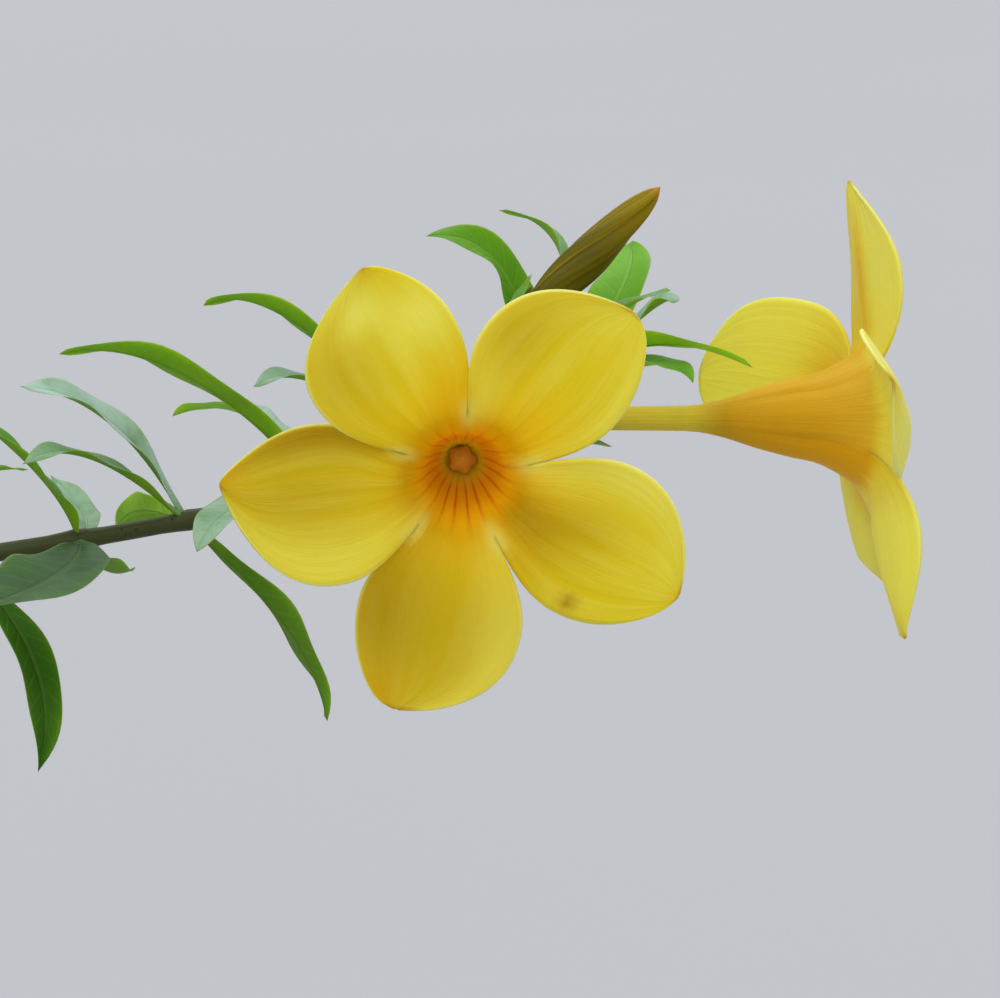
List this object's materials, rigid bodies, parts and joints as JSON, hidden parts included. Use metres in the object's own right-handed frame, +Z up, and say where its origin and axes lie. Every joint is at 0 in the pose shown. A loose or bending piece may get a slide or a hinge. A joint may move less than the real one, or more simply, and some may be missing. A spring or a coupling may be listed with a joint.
{
  "type": "potted allamanda",
  "caption": "Allamanda plant with yellow trumpet blooms and arching leafy stems, rooted in soil in a plain round clay pot.",
  "frame": {"origin": "centre of the pot's flat underside, on the surface that it stands on", "axes": "+Z up; +X towards the stem with the two open blooms at its tip; the front bloom faces -Y"},
  "size_m": [0.6019, 0.3695, 0.5277],
  "materials": {
    "clay": "unglazed matt fired clay",
    "soil": "loose dark potting soil",
    "foliage": "glossy living leaf, pale under side, brown green stem",
    "petal": "soft satin yellow petal, orange throat",
    "bud": "satin olive yellow bud with a brown tip"
  },
  "bodies": {
    "root": {"pot": "clay", "soil": "soil", "leafy_stem_1": "foliage", "leafy_stem_2": "foliage", "leafy_stem_3": "foliage", "leafy_stem_4": "foliage", "leafy_stem_5": "foliage", "leafy_stem_6": "foliage", "leafy_stem_7": "foliage", "leafy_stem_8": "foliage", "bloom_1": "petal", "bloom_2": "petal", "bloom_3": "petal", "bloom_4": "petal", "bloom_5": "petal", "bud_1": "bud", "bud_2": "bud", "bud_3": "bud", "bud_4": "bud", "bud_5": "bud"}
  },
  "joints": []
}
